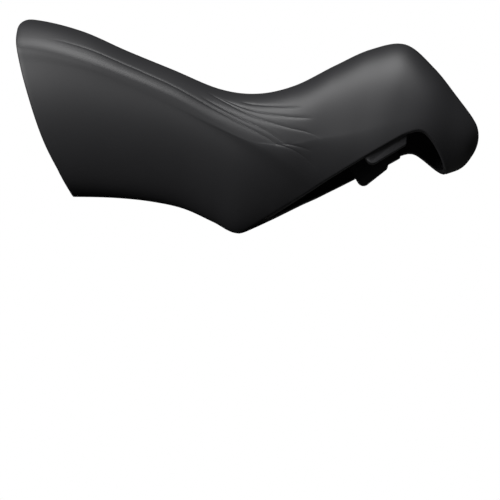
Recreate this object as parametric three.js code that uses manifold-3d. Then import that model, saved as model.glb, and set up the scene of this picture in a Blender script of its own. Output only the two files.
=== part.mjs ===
// Brake lever hood: one moulded rubber shell that is pulled over the body of a bicycle brake lever.
// Millimetres. X points forward to the horn, Y to the left, Z up, and Y = 0 is the plane of symmetry.
// The origin is the apex, the point of the keel where the lever opening starts.

import * as THREE from 'three';
import { mergeVertices } from 'three/addons/utils/BufferGeometryUtils.js';
import { ParametricGeometry } from 'three/addons/geometries/ParametricGeometry.js';
import Module from 'manifold-3d';

// Outer form, from behind the rear mouth to the front of the nose. Each row is one cross-section:
// its lowest point and its highest in the side view, as [x, z], half its width at the shoulder, how
// far up the section the shoulder is, and how square (above 2) or pointed (below 2) the section is
// above the shoulder and below it.

const sections = [
  [[-62.0, -2.2], [-91.0, 47.0], 20.0, 0.66, 2.1, 2.0],
  [[-50.0, 0.6], [-76.0, 50.2], 20.3, 0.66, 2.1, 1.9],
  [[-39.0, 2.7], [-61.0, 50.1], 20.0, 0.66, 2.0, 1.8],
  [[-28.5, 3.9], [-46.0, 47.1], 19.3, 0.65, 2.0, 1.7],
  [[-18.5, 3.9], [-31.0, 44.5], 18.4, 0.63, 2.0, 1.6],
  [[-9.0, 1.9], [-16.0, 41.9], 17.4, 0.61, 2.0, 1.5],
  [[-1.0, 0.1], [-4.5, 43.0], 16.8, 0.57, 2.1, 1.4],
  [[8.0, 4.0], [6.0, 48.0], 16.3, 0.50, 2.2, 1.4],
  [[17.0, 9.2], [16.5, 56.8], 16.0, 0.44, 2.3, 1.5],
  [[27.0, 12.5], [26.0, 64.2], 16.3, 0.42, 2.3, 1.7],
  [[38.0, 17.5], [36.0, 68.0], 16.6, 0.45, 2.3, 2.0],
  [[48.0, 26.0], [46.0, 62.6], 15.6, 0.48, 2.2, 2.0],
  [[55.6, 31.4], [54.8, 55.4], 11.6, 0.50, 2.1, 2.0],
  [[60.6, 34.8], [60.6, 50.4], 7.8, 0.50, 2.0, 2.0],
  [[63.0, 39.2], [63.0, 47.2], 3.9, 0.50, 2.0, 2.0],
].map(([keel, crown, halfWidth, shoulder, crownShape, keelShape]) => (
  { keel, crown, halfWidth, shoulder, crownShape, keelShape }
));
const noseTip = [63.8, 43.3];

// Ridge: a soft crest along each shoulder that comes down to the lever opening. The skin swells by
// its height, and the swelling fades out round the section on both sides of the crest. ridgeTurns is
// how many degrees round from the crown the crest is, at each row and at the tip.

const ridgeTurns = [76, 79, 82, 80, 80, 84, 91, 107, 128, 140, 125, 105, 90, 80, 80, 80];
const ridgeHeight = 0.7;
const ridgeSpreadAbove = 15; // degrees
const ridgeSpreadBelow = 9;
const ridgeFadeRows = [8, 9];

// Wall

const wall = 2.2; // sides, crown and nose
const keelWall = 2.8; // the keel is thicker, because its flanks slope
const lipWall = 1.5; // the keel thins out to this in the lip under the nose
const lipRows = [9, 11.5]; // the rows between which it thins out

// Rear mouth: the side view of its rim, from below the keel to above the crown

const rimLine = [[-46.0, -6.0], [-51.8, 0.1], [-61.7, 11.3], [-70.6, 26.0], [-75.9, 37.0], [-77.6, 43.0]];
const rimCornerPull = [-78.4, 48.4]; // what the corner between the rim and the crown rounds towards
const rimCornerTop = [-73.5, 50.8];

// Lever opening: a straight edge that climbs from the apex, an arch over the lever's pivot, and the
// front leg that ends in the lip

const openingRise = 42.2; // degrees above level
const openingStraight = 54.5; // length of the straight edge, from the apex
const archTop = [45.2, 39.3];
const archFront = [49.5, 37.6];
const lip = [56.2, 31.9];

// Side tabs: a flat flange inside each wall, hanging below the straight edge of the opening. Places
// are [distance along the edge from the apex, height above the edge].

const tabThickness = 2.4;
const tabInnerGap = 23.4; // between the flat inner faces of the two tabs, over the lever's body
const tabRoot = 6.0; // how far they run up inside the wall
const tabCorner = 2.0; // radius of the rear lower corner
const tabFront = 56.2; // where both end, at the arch
const rightTab = { side: -1, rear: 42.0, drop: 3.1, foot: [54.6, -2.7], step: [56.0, -0.6] };
const leftTab = { side: 1, rear: 40.8, drop: 3.5, foot: [50.9, -2.2], step: [51.8, -1.2] };

// Fan: fine grooves that spread forward and down over each shoulder. Each line is a list of
// [row of the outer form, degrees round from the crown].

const fanLines = [
  [[1.3, 64], [4.2, 66], [6.6, 87], [8.2, 123]],
  [[4.6, 60], [6.2, 76], [7.9, 106]],
  [[4.7, 47], [6.3, 69], [8.1, 91]],
  [[5.1, 50], [6.4, 62], [7.7, 77]],
  [[5.6, 47], [6.5, 53], [7.3, 63]],
];
const grooveRadius = 0.6; // of the round tool that draws them
const grooveDepth = 0.35;
const grooveFade = 0.18; // the share of a line over which the groove runs out at each end

// Mesh density

const pointsOutside = 60;
const ringsOutside = 38;
const pointsInside = 40;
const ringsInside = 22;
const crestShare = 0.55; // how much of a ring's points lies above the crests
const archSteps = 10;
const grooveSteps = 26;
const grooveSides = 6;
const mergeDistance = 1e-4;

const clearOfBody = 40; // how far a cutting shape runs past the outside of the body
const edgeOverrun = 6; // how far the straight edge is drawn on behind the apex
const grooveOverrun = 0.3; // how far a groove's ends rise clear of the skin

const wasm = await Module();
wasm.setup();

const side2d = ([x, z]) => new THREE.Vector2(x, z);
const side3d = ([x, z]) => new THREE.Vector3(x, 0, z);

// The rows of the outer form as smooth lines. A last row beyond the tip mirrors the row before it,
// so that the nose closes round.

function formLines() {
  const last = sections.at(-1);
  const tipRow = { ...last, keel: noseTip, crown: noseTip, halfWidth: 0 };
  const beyond = { ...last, keel: last.crown, crown: last.keel, halfWidth: -last.halfWidth };
  const rows = [...sections, tipRow, beyond];
  const line = (read) => new THREE.CatmullRomCurve3(rows.map(read), false, 'catmullrom', 0.5);
  return {
    keel: line((row) => side3d(row.keel)),
    crown: line((row) => side3d(row.crown)),
    plan: line((row) => new THREE.Vector3((row.keel[0] + row.crown[0]) / 2, row.halfWidth, 0)),
    shape: line((row) => new THREE.Vector3(row.shoulder, row.crownShape, row.keelShape)),
    lastRow: rows.length - 1,
  };
}

const form = formLines();
const tipRow = sections.length;

// A point of a side-view line, moved inwards by a distance square to the line

function insetSide(line, t, distance, turn) {
  const tangent = line.getTangent(t);
  const inwards = new THREE.Vector3(-tangent.z, 0, tangent.x).multiplyScalar(turn * distance);
  return line.getPoint(t).add(inwards);
}

// Where the crest is, and how far the ridge lifts the skin

const ridgeLine = new THREE.SplineCurve(ridgeTurns.map((turn, row) => new THREE.Vector2(row, turn)));
const crestTurn = (row) => THREE.MathUtils.degToRad(ridgeLine.getPoint(row / tipRow).y);

function ridgeSwell(row, angle) {
  const beyond = THREE.MathUtils.radToDeg(Math.abs(Math.PI - angle) - crestTurn(row));
  const spread = beyond < 0 ? ridgeSpreadAbove : ridgeSpreadBelow;
  const fade = 1 - THREE.MathUtils.smoothstep(row, ridgeFadeRows[0], ridgeFadeRows[1]);
  return ridgeHeight * fade * Math.exp(-((beyond / spread) ** 2));
}

// A point of the skin, or of one that lies deeper or, with a minus, higher: row runs from 0, behind
// the mouth, to tipRow, and angle from the keel round by the left shoulder, the crown and the right

function skinPoint(row, angle, sideDepth, keelDepth, target) {
  const t = row / form.lastRow;
  const swell = ridgeSwell(row, angle);
  const sideInset = sideDepth - swell;
  const keelInset = keelDepth - swell;
  const keel = insetSide(form.keel, t, keelInset, 1);
  const crown = insetSide(form.crown, t, sideInset, -1);
  const plan = form.plan.getPoint(t);
  const planTangent = form.plan.getTangent(t);
  const shape = form.shape.getPoint(t);
  const halfWidth = Math.max(plan.y - sideInset * Math.abs(planTangent.x), 0);
  const rise = -Math.cos(angle);
  const exponent = rise > 0 ? shape.y : shape.z;
  const reach = rise > 0 ? 1 - shape.x : shape.x;
  const height = shape.x + Math.sign(rise) * reach * Math.abs(rise) ** (2 / exponent);
  const out = Math.sin(angle);
  target.lerpVectors(keel, crown, height);
  target.y = halfWidth * Math.sign(out) * Math.abs(out) ** (2 / exponent);
  return target;
}

// The angle of a point of a ring, share 0 to 1 round from the keel, so that lines of points follow
// the two crests

function ringAngle(row, share) {
  const fromCrown = Math.abs(2 * share - 1);
  const crest = crestTurn(row);
  const above = fromCrown / crestShare * crest;
  const below = crest + (fromCrown - crestShare) / (1 - crestShare) * (Math.PI - crest);
  return Math.PI + Math.sign(share - 0.5) * (fromCrown < crestShare ? above : below);
}

// A closed mesh as a solid, with its shared corners merged and flat triangles left out

function solidOf(geometry) {
  geometry.deleteAttribute('normal');
  geometry.deleteAttribute('uv');
  const merged = mergeVertices(geometry, mergeDistance);
  const corners = merged.index.array;
  const triangles = [];
  for (let i = 0; i < corners.length; i += 3) {
    const [a, b, c] = corners.slice(i, i + 3);
    if (a !== b && b !== c && c !== a) {
      triangles.push(a, b, c);
    }
  }
  const vertProperties = new Float32Array(merged.attributes.position.array);
  const triVerts = new Uint32Array(triangles);
  return new wasm.Manifold(new wasm.Mesh({ numProp: 3, vertProperties, triVerts }));
}

// The solid inside a skin. Its first row of faces is the flat cap behind the mouth.

function skinSolid(sideDepth, keelDepthAt, points, rings) {
  const skin = (row, angle, target) => skinPoint(row, angle, sideDepth, keelDepthAt(row), target);
  const capCentre = skin(0, 0, new THREE.Vector3());
  capCentre.lerp(skin(0, Math.PI, new THREE.Vector3()), 0.5);
  const surface = (u, v, target) => {
    const ring = Math.round(v * (rings + 1)) - 1;
    if (ring < 0) {
      target.copy(capCentre);
    } else {
      const row = ring / rings * tipRow;
      skin(row, ringAngle(row, u), target);
    }
  };
  return solidOf(new ParametricGeometry(surface, points, rings + 1));
}

function keelWallAt(row) {
  const thinned = THREE.MathUtils.smoothstep(row, lipRows[0], lipRows[1]);
  return THREE.MathUtils.lerp(keelWall, lipWall, thinned);
}

// A side-view shape as a solid between two distances from the plane of symmetry

function sideSolid(shape, from, to) {
  const options = { depth: to - from, bevelEnabled: false, curveSegments: archSteps };
  const geometry = new THREE.ExtrudeGeometry(shape, options);
  geometry.rotateX(Math.PI / 2);
  geometry.translate(0, to, 0);
  return solidOf(geometry);
}

// What is cut away behind the mouth: everything behind the rim, whose corner at the crown is round

function behindRim() {
  const [start, ...rest] = rimLine.map(side2d);
  const corner = side2d(rimCornerPull);
  const top = side2d(rimCornerTop);
  const farBehind = start.x - 2 * clearOfBody;
  const shape = new THREE.Shape();
  shape.moveTo(start.x, start.y - clearOfBody);
  shape.lineTo(start.x, start.y);
  shape.splineThru(rest);
  shape.quadraticCurveTo(corner.x, corner.y, top.x, top.y);
  shape.lineTo(top.x, top.y + clearOfBody);
  shape.lineTo(farBehind, top.y + clearOfBody);
  shape.lineTo(farBehind, start.y - clearOfBody);
  return sideSolid(shape, -clearOfBody, clearOfBody);
}

// A point beside the straight edge of the opening: distance along it from the apex, and height
// square to it, up into the hood

const rise = THREE.MathUtils.degToRad(openingRise);
const edgePoint = (distance, height) => new THREE.Vector2(
  distance * Math.cos(rise) - height * Math.sin(rise),
  distance * Math.sin(rise) + height * Math.cos(rise),
);

// What is cut away for the lever: everything below the straight edge, the arch and the front leg

function belowOpening() {
  const before = edgePoint(-edgeOverrun, 0);
  const corner = edgePoint(openingStraight, 0);
  const end = side2d(lip);
  const past = end.clone().sub(side2d(archFront)).setLength(clearOfBody).add(end);
  const shape = new THREE.Shape();
  shape.moveTo(before.x, before.y);
  shape.lineTo(corner.x, corner.y);
  shape.splineThru([side2d(archTop), side2d(archFront), end]);
  shape.lineTo(past.x, past.y);
  shape.lineTo(past.x, before.y - clearOfBody);
  shape.lineTo(before.x, before.y - clearOfBody);
  return sideSolid(shape, -clearOfBody, clearOfBody);
}

// One side tab: its lower edge leaves a round rear corner, runs to the foot, climbs to the step and
// goes on level with the edge of the opening to the arch

function sideTab(tab) {
  const rearTop = edgePoint(tab.rear, tabRoot);
  const aboveCorner = edgePoint(tab.rear, tabCorner - tab.drop);
  const corner = edgePoint(tab.rear, -tab.drop);
  const afterCorner = edgePoint(tab.rear + tabCorner, -tab.drop);
  const lowerEdge = [edgePoint(...tab.foot), edgePoint(...tab.step), edgePoint(tabFront, tab.step[1])];
  const shape = new THREE.Shape();
  shape.moveTo(rearTop.x, rearTop.y);
  shape.lineTo(aboveCorner.x, aboveCorner.y);
  shape.quadraticCurveTo(corner.x, corner.y, afterCorner.x, afterCorner.y);
  [...lowerEdge, edgePoint(tabFront, tabRoot)].forEach((point) => shape.lineTo(point.x, point.y));
  const innerFace = tabInnerGap / 2;
  const outerFace = innerFace + tabThickness;
  return tab.side > 0 ? sideSolid(shape, innerFace, outerFace) : sideSolid(shape, -outerFace, -innerFace);
}

// One groove of the fan: a round bar along its line, sunk in the skin, whose ends rise clear of it

function fanGroove(line, side) {
  const track = new THREE.SplineCurve(line.map(([row, turn]) => new THREE.Vector2(row, turn)));
  const path = [];
  for (let step = 0; step <= grooveSteps; step += 1) {
    const share = step / grooveSteps;
    const { x: row, y: turn } = track.getPoint(share);
    const nearEnd = Math.max(1 - Math.min(share, 1 - share) / grooveFade, 0);
    const height = grooveRadius - grooveDepth + nearEnd ** 2 * (grooveDepth + grooveOverrun);
    const angle = Math.PI - side * THREE.MathUtils.degToRad(turn);
    path.push(skinPoint(row, angle, -height, -height, new THREE.Vector3()));
  }
  const bar = new THREE.Shape();
  for (let corner = 0; corner < grooveSides; corner += 1) {
    const turn = corner / grooveSides * 2 * Math.PI;
    const place = [grooveRadius * Math.cos(turn), grooveRadius * Math.sin(turn)];
    corner === 0 ? bar.moveTo(...place) : bar.lineTo(...place);
  }
  const extrudePath = new THREE.CatmullRomCurve3(path);
  return solidOf(new THREE.ExtrudeGeometry(bar, { steps: grooveSteps, extrudePath, bevelEnabled: false }));
}

const grooves = [1, -1].flatMap((side) => fanLines.map((line) => fanGroove(line, side)));
const solid = skinSolid(0, () => 0, pointsOutside, ringsOutside)
  .subtract(skinSolid(wall, keelWallAt, pointsInside, ringsInside))
  .subtract(behindRim())
  .subtract(belowOpening())
  .add(sideTab(leftTab))
  .add(sideTab(rightTab))
  .subtract(wasm.Manifold.union(grooves));

function meshOf(name, body, material) {
  const result = body.getMesh();
  const geometry = new THREE.BufferGeometry();
  const positions = new THREE.BufferAttribute(new Float32Array(result.vertProperties), 3);
  geometry.setAttribute('position', positions);
  geometry.setIndex(new THREE.BufferAttribute(new Uint32Array(result.triVerts), 1));
  geometry.computeVertexNormals();
  const mesh = new THREE.Mesh(geometry, material);
  mesh.name = name;
  return mesh;
}

const rubber = new THREE.MeshStandardMaterial({ color: 0x262628, roughness: 0.62, metalness: 0 });
const group = new THREE.Group();
group.add(meshOf('hood', solid, rubber));

export default group;
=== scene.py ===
import math
import bmesh
import bpy
import numpy as np
from mathutils import Matrix, Vector


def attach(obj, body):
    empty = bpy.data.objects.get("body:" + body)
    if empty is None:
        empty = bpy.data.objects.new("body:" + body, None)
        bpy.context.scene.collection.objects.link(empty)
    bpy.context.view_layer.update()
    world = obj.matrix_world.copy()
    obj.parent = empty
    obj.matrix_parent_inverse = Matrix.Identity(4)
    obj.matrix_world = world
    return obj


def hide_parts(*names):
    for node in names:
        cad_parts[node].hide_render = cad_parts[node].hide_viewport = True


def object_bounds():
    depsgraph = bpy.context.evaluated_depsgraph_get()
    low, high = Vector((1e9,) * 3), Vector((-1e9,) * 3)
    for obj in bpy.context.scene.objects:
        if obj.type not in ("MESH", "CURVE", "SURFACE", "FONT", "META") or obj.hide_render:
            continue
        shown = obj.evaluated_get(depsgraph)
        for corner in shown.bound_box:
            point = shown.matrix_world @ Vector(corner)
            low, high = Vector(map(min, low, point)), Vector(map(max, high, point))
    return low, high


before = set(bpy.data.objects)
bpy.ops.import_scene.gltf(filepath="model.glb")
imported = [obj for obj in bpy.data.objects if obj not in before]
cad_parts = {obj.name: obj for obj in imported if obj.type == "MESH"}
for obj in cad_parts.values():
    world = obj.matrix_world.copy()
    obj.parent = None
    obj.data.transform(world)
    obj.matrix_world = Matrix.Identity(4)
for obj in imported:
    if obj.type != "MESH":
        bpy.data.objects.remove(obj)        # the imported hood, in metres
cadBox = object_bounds()
print("frame loaded")

mm = 0.001

# The moulded shell, in millimetres, X forward to the horn and Z up. Each row is one cross-section:
# keel x and z, crown x and z, half the width at the shoulder, how far up the shoulder is, and how
# square or pointed the section is above it and below it.

hoodForm = {
    "rows": [
        (-62.0, -2.2, -91.0, 47.0, 20.0, 0.66, 2.1, 2.0),
        (-50.0, 0.6, -76.0, 50.2, 20.3, 0.66, 2.1, 1.9),
        (-39.0, 2.7, -61.0, 50.1, 20.0, 0.66, 2.0, 1.8),
        (-28.5, 3.9, -46.0, 47.1, 19.3, 0.65, 2.0, 1.7),
        (-18.5, 3.9, -31.0, 44.5, 18.4, 0.63, 2.0, 1.6),
        (-9.0, 1.9, -16.0, 41.9, 17.4, 0.61, 2.0, 1.5),
        (-1.0, 0.1, -4.5, 43.0, 16.8, 0.57, 2.1, 1.4),
        (8.0, 4.0, 6.0, 48.0, 16.3, 0.50, 2.2, 1.4),
        (17.0, 9.2, 16.5, 56.8, 16.0, 0.44, 2.3, 1.5),
        (27.0, 12.5, 26.0, 64.2, 16.3, 0.42, 2.3, 1.7),
        (38.0, 17.5, 36.0, 68.0, 16.6, 0.45, 2.3, 2.0),
        (48.0, 26.0, 46.0, 62.6, 15.6, 0.48, 2.2, 2.0),
        (55.6, 31.4, 54.8, 55.4, 11.6, 0.50, 2.1, 2.0),
        (60.6, 34.8, 60.6, 50.4, 7.8, 0.50, 2.0, 2.0),
        (63.0, 39.2, 63.0, 47.2, 3.9, 0.50, 2.0, 2.0),
    ],
    "noseTip": (63.8, 43.3),
    "ridgeTurns": [76, 79, 82, 80, 80, 84, 91, 107, 128, 140, 125, 105, 90, 80, 80, 80],  # from the crown
    "ridgeHeight": 0.7,
    "ridgeSpread": (15, 9),  # degrees above the crest and below it
    "ridgeFadeRows": (8, 9),
    "wall": 2.2,
    "keelWall": 2.8,
    "lipWall": 1.5,          # the keel thins out to this between the two rows
    "lipRows": (9, 11.5),
    "edgeRadius": 0.4,       # of the moulded edges of the mouth and the opening
    "edgeCuts": 6,
    "alongCount": 176,
    "aroundCount": 208,
    "fineRows": (4.3, 8.5),  # the mesh is finer where the fan lies: these rows,
    "fineAround": (0.155, 0.375),            # and these shares of the way round from the keel
    "rimBlend": 4.0,         # rows over which the lines of the mesh settle to the rim
    "edgeCrowding": 4.0,     # how near the opening the lines give way to it
    "edgeRoom": 0.8,         # the share of their spacing that they may give up there
}

mouthRim = {                 # side view of the rear rim and its rounded corner at the crown
    "line": [(-46.0, -6.0), (-51.8, 0.1), (-61.7, 11.3), (-70.6, 26.0), (-75.9, 37.0), (-77.6, 43.0)],
    "cornerPull": (-78.4, 48.4),
    "cornerTop": (-73.5, 50.8),
}

leverOpening = {             # side view of the cut edge, which climbs from the apex and ends in the lip
    "rise": 42.2,
    "straight": 54.5,
    "arch": [(45.2, 39.3), (49.5, 37.6), (56.2, 31.9)],
}

fan = {                      # fine grooves that spread forward and down over each shoulder
    "lines": [               # row of the form, and degrees round from the crown
        [(1.3, 64), (4.2, 66), (6.6, 87), (8.2, 123)],
        [(4.6, 60), (6.2, 76), (7.9, 106)],
        [(4.7, 47), (6.3, 69), (8.1, 91)],
        [(5.1, 50), (6.4, 62), (7.7, 77)],
        [(5.6, 47), (6.5, 53), (7.3, 63)],
    ],
    "halfWidth": 0.55,       # mm
    "depth": 0.12,           # mm; less than in the solid, because the material draws its floor
    "fade": 0.18,            # the share of a line over which it runs out at each end
    "reach": 3.0,            # mm from a line beyond which its shape isn't worked out
}

sideTabs = {                 # the flat flanges inside the walls; places are along the edge and above it
    "thickness": 2.4,
    "innerGap": 23.4,
    "root": 6.0,
    "corner": 2.0,
    "front": 56.2,
    "right": {"side": -1, "rear": 42.0, "drop": 3.1, "foot": (54.6, -2.7), "step": (56.0, -0.6)},
    "left": {"side": 1, "rear": 40.8, "drop": 3.5, "foot": (50.9, -2.2), "step": (51.8, -1.2)},
    "edgeRadius": 0.3,
}


def curveAt(points, t, mirrored=True):       # a smooth line through points, and its direction
    points = np.asarray(points, float)
    first = 2 * points[0] - points[1] if mirrored else points[0]
    last = 2 * points[-1] - points[-2] if mirrored else points[-1]
    padded = np.vstack([first, points, last])
    t = np.asarray(t, float)
    i = np.clip(np.floor(t).astype(int), 0, len(points) - 2)
    f = (t - i)[..., None]
    before, a, b, after = padded[i], padded[i + 1], padded[i + 2], padded[i + 3]
    leave, arrive = (b - before) / 2, (after - a) / 2
    cube = 2 * a - 2 * b + leave + arrive
    square = -3 * a + 3 * b - 2 * leave - arrive
    return ((cube * f + square) * f + leave) * f + a, (3 * cube * f + 2 * square) * f + leave


def formRows():                              # the rows, the tip, and a mirrored row that rounds the tip
    rows = np.array(hoodForm["rows"])
    tip = rows[-1].copy()
    tip[0:2] = tip[2:4] = hoodForm["noseTip"]
    tip[4] = 0
    beyond = rows[-1].copy()
    beyond[0:2], beyond[2:4], beyond[4] = rows[-1][2:4], rows[-1][0:2], -rows[-1][4]
    return np.vstack([rows, tip, beyond])


rows = formRows()
tipRow = len(hoodForm["rows"])


def easeBetween(value, span):
    share = np.clip((value - span[0]) / (span[1] - span[0]), 0, 1)
    return share ** 2 * (3 - 2 * share)


def ridgeSwell(row, angle):                  # how far the soft crest along each shoulder lifts the skin
    points = [(row, turn) for row, turn in enumerate(hoodForm["ridgeTurns"])]
    crest = curveAt(points, np.clip(row, 0, len(points) - 1), mirrored=False)[0][..., 1]
    beyond = np.abs(np.degrees(math.pi - angle)) - crest
    spread = np.where(beyond < 0, *hoodForm["ridgeSpread"])
    fade = 1 - easeBetween(row, hoodForm["ridgeFadeRows"])
    return hoodForm["ridgeHeight"] * fade * np.exp(-(beyond / spread) ** 2)


def skinAt(row, angle, inner=False):         # a point of the skin; the angle starts at the keel
    swell = ridgeSwell(row, angle)
    thinned = easeBetween(row, hoodForm["lipRows"])
    keelWall = hoodForm["keelWall"] + thinned * (hoodForm["lipWall"] - hoodForm["keelWall"])
    inset = (hoodForm["wall"] if inner else 0) - swell
    keelInset = (keelWall if inner else 0) - swell
    value, slope = curveAt(rows, row)
    keelTurn = slope[..., 0:2] / np.linalg.norm(slope[..., 0:2], axis=-1, keepdims=True)
    crownTurn = slope[..., 2:4] / np.linalg.norm(slope[..., 2:4], axis=-1, keepdims=True)
    keel = value[..., 0:2] + keelInset[..., None] * np.stack([-keelTurn[..., 1], keelTurn[..., 0]], -1)
    crown = value[..., 2:4] - inset[..., None] * np.stack([-crownTurn[..., 1], crownTurn[..., 0]], -1)
    planX, planY = (slope[..., 0] + slope[..., 2]) / 2, slope[..., 4]
    halfWidth = np.maximum(value[..., 4] - inset * np.abs(planX) / np.hypot(planX, planY), 0)
    shoulder, crownShape, keelShape = value[..., 5], value[..., 6], value[..., 7]
    rise, out = -np.cos(angle), np.sin(angle)
    exponent = np.where(rise > 0, crownShape, keelShape)
    reach = np.where(rise > 0, 1 - shoulder, shoulder)
    height = shoulder + np.sign(rise) * reach * np.abs(rise) ** (2 / exponent)
    side = keel + (crown - keel) * height[..., None]
    width = halfWidth * np.sign(out) * np.abs(out) ** (2 / exponent)
    return np.stack([side[..., 0], width, side[..., 1]], -1)


def rimProfile():                            # the rim's side view as a dense line, from bottom to top
    steps = np.linspace(0, len(mouthRim["line"]) - 1, 120)
    line = curveAt(mouthRim["line"], steps, mirrored=False)[0]
    start, pull, end = line[-1], np.array(mouthRim["cornerPull"]), np.array(mouthRim["cornerTop"])
    t = np.linspace(0.05, 1, 30)[:, None]
    corner = (1 - t) ** 2 * start + 2 * t * (1 - t) * pull + t ** 2 * end
    return np.vstack([line, corner])


def openingProfile():                        # the opening's cut edge as a dense line, from back to front
    rise = math.radians(leverOpening["rise"])
    toEdge = np.array([math.cos(rise), math.sin(rise)])
    corner = leverOpening["straight"] * toEdge
    arch = curveAt([corner] + leverOpening["arch"], np.linspace(0, 3, 60), mirrored=False)[0]
    onward = arch[-1] + 30 * (arch[-1] - arch[-3]) / np.linalg.norm(arch[-1] - arch[-3])
    return np.vstack([-60 * toEdge, arch, onward])


rimLine = rimProfile()
openingLine = openingProfile()


def aheadOfRim(point):                       # how far a point lies inside the mouth
    lineX = np.interp(point[..., 2], rimLine[:, 1], rimLine[:, 0])
    slope = np.interp(point[..., 2], rimLine[:, 1], np.gradient(rimLine[:, 0], rimLine[:, 1]))
    return (point[..., 0] - lineX) / np.hypot(1, slope)


def aboveOpening(point):                     # how far a point lies above the cut edge
    lineZ = np.interp(point[..., 0], openingLine[:, 0], openingLine[:, 1])
    slope = np.interp(point[..., 0], openingLine[:, 0], np.gradient(openingLine[:, 1], openingLine[:, 0]))
    return (point[..., 2] - lineZ) / np.hypot(1, slope)


def halve(distance, low, high):              # where a distance that grows from low to high passes zero
    for _ in range(34):
        middle = (low + high) / 2
        short = distance(middle) < 0
        low, high = np.where(short, middle, low), np.where(short, high, middle)
    return (low + high) / 2


def spacing(fineSpans, fineness):            # even steps from 0 to 1, closer together in the fine spans
    at = np.linspace(0, 1, 4001)
    softness = 0.01
    density = np.ones_like(at)
    for low, high in fineSpans:
        rise = 1 + np.exp(-(at - low) / softness)
        fall = 1 + np.exp((at - high) / softness)
        density += (fineness - 1) / rise / fall
    total = np.concatenate([[0], np.cumsum((density[1:] + density[:-1]) / 2)])
    return lambda share: np.interp(share, total / total[-1], at)


firstFineRow, lastFineRow = hoodForm["fineRows"]
fineStart, fineEnd = hoodForm["fineAround"]
alongSpacing = spacing([(firstFineRow / tipRow, lastFineRow / tipRow)], 2.0)
aroundSpacing = spacing([(fineStart, fineEnd), (1 - fineEnd, 1 - fineStart)], 2.6)


def trimmedPoint(around, along, inner, offset):   # a point of a skin that ends offset before its edges
    row = alongSpacing(along) * tipRow
    fullAngle = aroundSpacing(around) * 2 * math.pi
    rimRow = halve(lambda r: aheadOfRim(skinAt(r, fullAngle, inner)) - offset,
                   np.full_like(row, -0.6), np.full_like(row, 2.5))
    settle = np.clip(1 - row / hoodForm["rimBlend"], 0, 1) ** 2
    row = row + rimRow * settle
    keelAngle = halve(lambda a: aboveOpening(skinAt(row, a, inner)) - offset,
                      np.zeros_like(row), np.full_like(row, 2.3))
    turn = fullAngle / math.pi - 1           # 0 at the crown, 1 and -1 at the keel
    room = hoodForm["edgeRoom"] * math.pi / np.maximum(keelAngle, 0.01)
    crowding = np.clip(room, 1, hoodForm["edgeCrowding"])
    angle = math.pi * (1 + turn) - np.sign(turn) * keelAngle * np.abs(turn) ** crowding
    return row, angle, skinAt(row, angle, inner)


def fanPlace(line, point):                   # distance to a fan line, plus towards the crown, and its fade
    track = curveAt(line, np.linspace(0, len(line) - 1, 90), mirrored=False)[0]
    row, angle = track[:, 0], math.pi - np.radians(track[:, 1])
    path = skinAt(row, angle)
    towardsCrown = skinAt(row, angle + 0.01) - path
    start, run = path[:-1], path[1:] - path[:-1]
    mirrored = np.stack([point[:, 0], np.abs(point[:, 1]), point[:, 2]], -1)
    distance = np.full(len(point), fan["reach"])
    fade = np.zeros(len(point))
    low, high = path.min(axis=0) - fan["reach"], path.max(axis=0) + fan["reach"]
    near = np.flatnonzero(np.all((mirrored > low) & (mirrored < high), axis=1))
    spot = mirrored[near]
    share = np.einsum("ijk,jk->ij", spot[:, None] - start, run) / np.einsum("jk,jk->j", run, run)
    share = np.clip(share, 0, 1)
    offset = spot[:, None] - start - share[..., None] * run
    nearest = np.linalg.norm(offset, axis=-1).argmin(axis=1)
    each = np.arange(len(near))
    offset, share = offset[each, nearest], share[each, nearest]
    side = np.sign(np.einsum("ij,ij->i", offset, towardsCrown[nearest]))
    gone = (nearest + share) / len(run)
    away = np.linalg.norm(offset, axis=-1)
    distance[near] = side * np.minimum(away, fan["reach"])
    fade[near] = np.clip(np.minimum(gone, 1 - gone) / fan["fade"], 0, 1) * (away < fan["reach"])
    return distance, fade


def fanDepth(point):                         # how deep the fan's grooves are at points of the outer skin
    depth = np.zeros(len(point))
    for line in fan["lines"]:
        distance, fade = fanPlace(line, point)
        depth = np.maximum(depth, fan["depth"] * fade * np.exp(-(distance / fan["halfWidth"]) ** 2))
    return depth


def skinNormal(row, angle):
    step = 0.002
    row = np.minimum(row, tipRow - 0.03)
    alongStep = skinAt(row + step, angle) - skinAt(row - step, angle)
    aroundStep = skinAt(row, angle + step) - skinAt(row, angle - step)
    normal = np.cross(aroundStep, alongStep)
    return normal / np.maximum(np.linalg.norm(normal, axis=-1, keepdims=True), 1e-9)


def edgePoint(distance, height):             # a point beside the straight edge of the opening
    rise = math.radians(leverOpening["rise"])
    return (distance * math.cos(rise) - height * math.sin(rise),
            distance * math.sin(rise) + height * math.cos(rise))


def meshObject(name, bm):
    mesh = bpy.data.meshes.new(name)
    bmesh.ops.scale(bm, vec=(mm, mm, mm), verts=bm.verts)
    bm.to_mesh(mesh)
    bm.free()
    obj = bpy.data.objects.new(name, mesh)
    bpy.context.scene.collection.objects.link(obj)
    for polygon in mesh.polygons:
        polygon.use_smooth = True
    return obj


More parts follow.
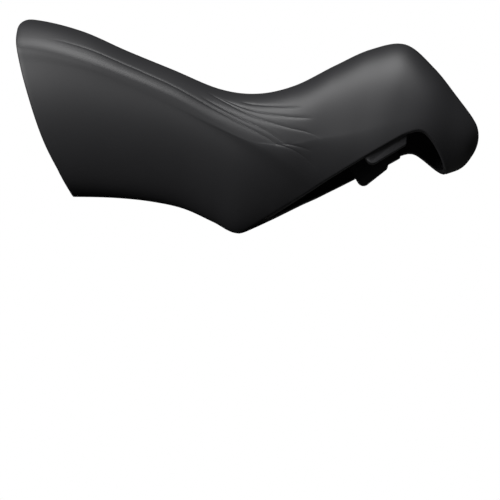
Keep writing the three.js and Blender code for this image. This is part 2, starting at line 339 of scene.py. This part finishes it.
def hoodShell():                             # a grid rolled up into the skin, then given its wall
    bm = bmesh.new()
    bmesh.ops.create_grid(bm, x_segments=hoodForm["aroundCount"], y_segments=hoodForm["alongCount"], size=1)
    around = bm.verts.layers.float.new("around")
    along = bm.verts.layers.float.new("along")
    depth = bm.verts.layers.float.new("depth")
    for vert in bm.verts:
        vert[around], vert[along] = (vert.co.x + 1) / 2, (vert.co.y + 1) / 2

    def layout():
        read = lambda layer: np.array([vert[layer] for vert in bm.verts])
        return read(around), read(along), read(depth)

    def place(points):
        for vert, point in zip(bm.verts, points):
            vert.co = point

    radius = hoodForm["edgeRadius"]
    u, v, _ = layout()
    place(trimmedPoint(u, v, False, radius)[2])
    bmesh.ops.remove_doubles(bm, verts=bm.verts, dist=0.0005)
    outerVerts = set(bm.verts)
    bmesh.ops.solidify(bm, geom=bm.faces[:], thickness=hoodForm["wall"])
    for vert in bm.verts:
        vert[depth] = 0.0 if vert in outerVerts else 1.0
    across = [edge for edge in bm.edges if edge.verts[0][depth] != edge.verts[1][depth]]
    cuts = hoodForm["edgeCuts"]
    bmesh.ops.subdivide_edges(bm, edges=across, cuts=cuts, use_grid_fill=True)

    u, v, d = layout()
    row, angle, outer = trimmedPoint(u, v, False, radius)
    outer = outer - skinNormal(row, angle) * fanDepth(outer)[:, None]
    inner = trimmedPoint(u, v, True, radius)[2]
    points = np.where(d[:, None] < 0.5, outer, inner)
    step = np.rint(d * (cuts + 1)).astype(int)
    edge = (step > 0) & (step <= cuts)
    outerCorner = trimmedPoint(u[edge], v[edge], False, 0.0)[2]
    innerCorner = trimmedPoint(u[edge], v[edge], True, 0.0)[2]
    wallLine = innerCorner - outerCorner
    share = np.minimum(radius / np.maximum(np.linalg.norm(wallLine, axis=1), 1e-6), 0.45)[:, None]
    outerFlat, innerFlat = outerCorner + share * wallLine, innerCorner - share * wallLine

    def bend(a, pull, b, t):
        return (1 - t) ** 2 * a + 2 * t * (1 - t) * pull + t ** 2 * b

    half = cuts // 2
    order = step[edge][:, None]
    rounded = np.where(order <= half,
                       bend(outer[edge], outerCorner, outerFlat, order / half),
                       bend(inner[edge], innerCorner, innerFlat, (cuts + 1 - order) / half))
    points[edge] = rounded
    place(points)
    bmesh.ops.recalc_face_normals(bm, faces=bm.faces[:])
    print("shell:", len(bm.verts), "points, volume", round(bm.calc_volume(signed=True) / 1000, 2), "cm3")
    return meshObject("hood_skin", bm)


def tabBlock(bm, tab):                       # one flange: its outline, drawn out sideways
    rear, drop, corner = tab["rear"], tab["drop"], sideTabs["corner"]
    outline = [(rear, sideTabs["root"]), (rear, corner - drop)]
    for turn in (22.5, 45, 67.5):
        outline.append((rear + corner * (1 - math.cos(math.radians(turn))),
                        corner * (1 - math.sin(math.radians(turn))) - drop))
    outline += [(rear + corner, -drop), tab["foot"], tab["step"], (sideTabs["front"], tab["step"][1]),
                (sideTabs["front"], sideTabs["root"])]
    innerFace = tab["side"] * sideTabs["innerGap"] / 2
    corners = [edgePoint(distance, height) for distance, height in outline]
    flat = bm.faces.new([bm.verts.new((x, innerFace, z)) for x, z in corners])
    drawn = bmesh.ops.extrude_face_region(bm, geom=[flat], use_keep_orig=True)
    moved = [item for item in drawn["geom"] if isinstance(item, bmesh.types.BMVert)]
    bmesh.ops.translate(bm, vec=(0, tab["side"] * sideTabs["thickness"], 0), verts=moved)


def tabBlocks():
    bm = bmesh.new()
    tabBlock(bm, sideTabs["left"])
    tabBlock(bm, sideTabs["right"])
    bmesh.ops.recalc_face_normals(bm, faces=bm.faces[:])
    sharp = [edge for edge in bm.edges if edge.calc_face_angle(0) > 0.6]
    bmesh.ops.bevel(bm, geom=sharp, offset=sideTabs["edgeRadius"], segments=3, profile=0.5,
                    affect="EDGES", material=-1, offset_type="OFFSET")
    return meshObject("tabs", bm)


def joinSolids(target, tool):                # one closed body out of two, and the tool is gone
    joiner = target.modifiers.new("join", "BOOLEAN")
    joiner.operation, joiner.solver, joiner.object = "UNION", "EXACT", tool
    depsgraph = bpy.context.evaluated_depsgraph_get()
    joined = bpy.data.meshes.new_from_object(target.evaluated_get(depsgraph))
    target.modifiers.clear()
    target.data = joined
    bpy.data.objects.remove(tool)


def writeFan(obj):                           # each line's distance and fade, for the material
    flat = np.empty(len(obj.data.vertices) * 3)
    obj.data.vertices.foreach_get("co", flat)
    points = flat.reshape(-1, 3) / mm
    for i, line in enumerate(fan["lines"]):
        distance, fade = fanPlace(line, points)
        values = np.stack([distance, fade, np.zeros(len(points))], -1)
        layer = obj.data.attributes.new(f"fan{i}", "FLOAT_VECTOR", "POINT")
        layer.data.foreach_set("vector", values.ravel())


hood = hoodShell()
joinSolids(hood, tabBlocks())
hood.data.name = "hood_skin"
writeFan(hood)
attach(hood, "root")
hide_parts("hood")
print("hood modelled:", len(hood.data.polygons), "faces")

# Materials

rubberLook = {
    "colour": "#2b2b2d",
    "worn": "#313133",
    "roughness": 0.45,
    "grainSize": 0.3,        # mm; the spark-eroded grain of the mould, a little coarser than life
    "grainDepth": 0.006,     # mm
    "lineHalfWidth": 0.28,   # mm; the sharp floor of each groove of the fan
    "lineDepth": 0.08,       # mm
}

floorLook = {"colour": "#e8e8e8", "bounce": "#585858", "size": 6.0}


def linear(hexColour):
    channels = [int(hexColour[i:i + 2], 16) / 255 for i in (1, 3, 5)]
    return [c / 12.92 if c <= 0.04045 else ((c + 0.055) / 1.055) ** 2.4 for c in channels] + [1.0]


def addNode(tree, kind, settings=None, inputs=None, links=None):
    node = tree.nodes.new(kind)
    for name, value in (settings or {}).items():
        setattr(node, name, value)
    for name, value in (inputs or {}).items():
        node.inputs[name].default_value = value
    for name, socket in (links or {}).items():
        tree.links.new(socket, node.inputs[name])
    return node


def newMaterial(name):
    material = bpy.data.materials.new(name)
    material.use_nodes = True
    material.node_tree.nodes.clear()
    return material, material.node_tree


def mathNode(tree, operation, first, second=0.0):
    node = addNode(tree, "ShaderNodeMath", settings={"operation": operation})
    for socket, value in zip(node.inputs, (first, second)):
        if isinstance(value, bpy.types.NodeSocket):
            tree.links.new(value, socket)
        else:
            socket.default_value = value
    return node.outputs[0]


def fanLineDepth(tree):                      # 0 on the plain skin, 1 on the floor of a groove
    deepest = 0.0
    for i in range(len(fan["lines"])):
        stored = addNode(tree, "ShaderNodeAttribute", settings={"attribute_name": f"fan{i}"})
        parts = addNode(tree, "ShaderNodeSeparateXYZ", links={"Vector": stored.outputs["Vector"]})
        share = mathNode(tree, "DIVIDE", parts.outputs["X"], rubberLook["lineHalfWidth"])
        squared = mathNode(tree, "MULTIPLY", share, share)
        bell = mathNode(tree, "EXPONENT", mathNode(tree, "MULTIPLY", squared, -1.0))
        deepest = mathNode(tree, "MAXIMUM", mathNode(tree, "MULTIPLY", bell, parts.outputs["Y"]), deepest)
    return deepest


# Moulded natural rubber from a spark-eroded steel mould: a dry, deep grey-black with a soft wide
# sheen, a fine even grain and a slightly greyer tone in soft clouds. The floor of each groove of the
# fan is drawn from the distance to its line, so that it stays a crisp hair line.

def mouldedRubber():
    material, tree = newMaterial("mouldedRubber")
    place = addNode(tree, "ShaderNodeTexCoord").outputs["Object"]
    grain = addNode(tree, "ShaderNodeTexNoise", inputs={"Scale": 1 / (rubberLook["grainSize"] * mm),
                                                       "Detail": 2.0}, links={"Vector": place})
    cloud = addNode(tree, "ShaderNodeTexNoise", inputs={"Scale": 60.0, "Detail": 4.0, "Roughness": 0.6},
                    links={"Vector": place})
    tone = addNode(tree, "ShaderNodeMix", settings={"data_type": "RGBA"})
    tone.inputs["A"].default_value = linear(rubberLook["colour"])
    tone.inputs["B"].default_value = linear(rubberLook["worn"])
    tree.links.new(cloud.outputs["Fac"], tone.inputs["Factor"])
    raised = mathNode(tree, "MULTIPLY", grain.outputs["Fac"], rubberLook["grainDepth"])
    sunk = mathNode(tree, "MULTIPLY", fanLineDepth(tree), rubberLook["lineDepth"])
    bump = addNode(tree, "ShaderNodeBump", inputs={"Strength": 1.0, "Distance": mm},
                   links={"Height": mathNode(tree, "SUBTRACT", raised, sunk)})
    shader = addNode(tree, "ShaderNodeBsdfPrincipled",
                     inputs={"Roughness": rubberLook["roughness"], "IOR": 1.5},
                     links={"Base Color": tone.outputs["Result"], "Normal": bump.outputs["Normal"]})
    addNode(tree, "ShaderNodeOutputMaterial", links={"Surface": shader.outputs["BSDF"]})
    return material


# Matt paper sweep: pale to the camera, and dim to the rubber, so that the hood's underside stays as
# dark as it is in the air. Seen from below it isn't there, because the camera looks up at the hood
# from under the table's edge.

def paperSweep():
    material, tree = newMaterial("paperSweep")
    seen = addNode(tree, "ShaderNodeLightPath").outputs["Is Camera Ray"]
    tone = addNode(tree, "ShaderNodeMix", settings={"data_type": "RGBA"})
    tone.inputs["A"].default_value = linear(floorLook["bounce"])
    tone.inputs["B"].default_value = linear(floorLook["colour"])
    tree.links.new(seen, tone.inputs["Factor"])
    paper = addNode(tree, "ShaderNodeBsdfDiffuse", links={"Color": tone.outputs["Result"]})
    clear = addNode(tree, "ShaderNodeBsdfTransparent")
    under = addNode(tree, "ShaderNodeNewGeometry").outputs["Backfacing"]
    mix = addNode(tree, "ShaderNodeMixShader", links={0: under, 1: paper.outputs["BSDF"],
                                                      2: clear.outputs["BSDF"]})
    addNode(tree, "ShaderNodeOutputMaterial", links={"Surface": mix.outputs["Shader"]})
    return material


hood.data.materials.clear()
hood.data.materials.append(mouldedRubber())
print("rubber ready")

# Floor, light and camera

studio = {
    "distance": 500.0,       # mm, from the camera to the apex
    "apexInPhoto": (240.5, 234.5),
    "photoSize": 500,
    "focalPixels": 1667,
    "pitch": 9.8,            # degrees the camera looks up
    "roll": 12.8,            # degrees the hood is turned in the picture
    "sensor": 36.0,
    "ambient": "#2b2b2b",
    "key": {"towards": (-0.56, -0.81, 0.17), "away": 800, "size": 450, "power": 6.4},
    "top": {"towards": (0.0, -0.48, 0.88), "away": 800, "size": 450, "power": 4.6},
}


def fromPhotoFrame(right, away, up):         # directions of the level photo turned into the hood's frame
    roll = math.radians(studio["roll"])
    return Vector((right * math.cos(roll) - up * math.sin(roll), away,
                   right * math.sin(roll) + up * math.cos(roll)))


def addCamera():
    pitch = math.radians(studio["pitch"])
    across = fromPhotoFrame(1, 0, 0)
    ahead = fromPhotoFrame(0, math.cos(pitch), math.sin(pitch))
    up = fromPhotoFrame(0, -math.sin(pitch), math.cos(pitch))
    half, focal = studio["photoSize"] / 2, studio["focalPixels"]
    x, y = studio["apexInPhoto"]
    toApex = ahead + across * (x - half) / focal + up * (half - y) / focal
    data = bpy.data.cameras.new("camera")
    data.sensor_width = studio["sensor"]
    data.lens = studio["sensor"] * focal / studio["photoSize"]
    data.clip_start = 0.01
    camera = bpy.data.objects.new("camera", data)
    camera.matrix_world = Matrix.Translation(-toApex * studio["distance"] * mm) @ Matrix(
        (across, up, -ahead)).transposed().to_4x4()
    bpy.context.scene.collection.objects.link(camera)
    bpy.context.scene.camera = camera


def addSoftbox(name, look, centre):
    data = bpy.data.lights.new(name, "AREA")
    data.shape, data.size, data.energy = "SQUARE", look["size"] * mm, look["power"]
    lamp = bpy.data.objects.new(name, data)
    towards = fromPhotoFrame(*look["towards"]).normalized()
    lamp.location = centre + towards * look["away"] * mm
    lamp.rotation_euler = towards.to_track_quat("Z", "Y").to_euler()
    bpy.context.scene.collection.objects.link(lamp)


def addFloor():
    bm = bmesh.new()
    bmesh.ops.create_grid(bm, x_segments=1, y_segments=1, size=floorLook["size"] / (2 * mm))
    floor = meshObject("floor", bm)
    floor.data.materials.append(paperSweep())


def addWorld():                              # white behind the hood, and a plain grey light from all sides
    world = bpy.data.worlds.new("world")
    bpy.context.scene.world = world
    world.use_nodes = True
    tree = world.node_tree
    tree.nodes.clear()
    seen = addNode(tree, "ShaderNodeLightPath").outputs["Is Camera Ray"]
    light = addNode(tree, "ShaderNodeBackground",
                    inputs={"Color": linear(studio["ambient"]), "Strength": 1.0})
    white = addNode(tree, "ShaderNodeBackground", inputs={"Color": (1, 1, 1, 1), "Strength": 1.0})
    mix = addNode(tree, "ShaderNodeMixShader", links={0: seen, 1: light.outputs[0], 2: white.outputs[0]})
    addNode(tree, "ShaderNodeOutputWorld", links={"Surface": mix.outputs[0]})


low, high = (Vector(corner) for corner in cadBox)
addCamera()
addSoftbox("key", studio["key"], (low + high) / 2)
addSoftbox("top", studio["top"], (low + high) / 2)
addFloor()
addWorld()
bpy.context.scene.view_settings.view_transform = "Standard"
print("studio ready")
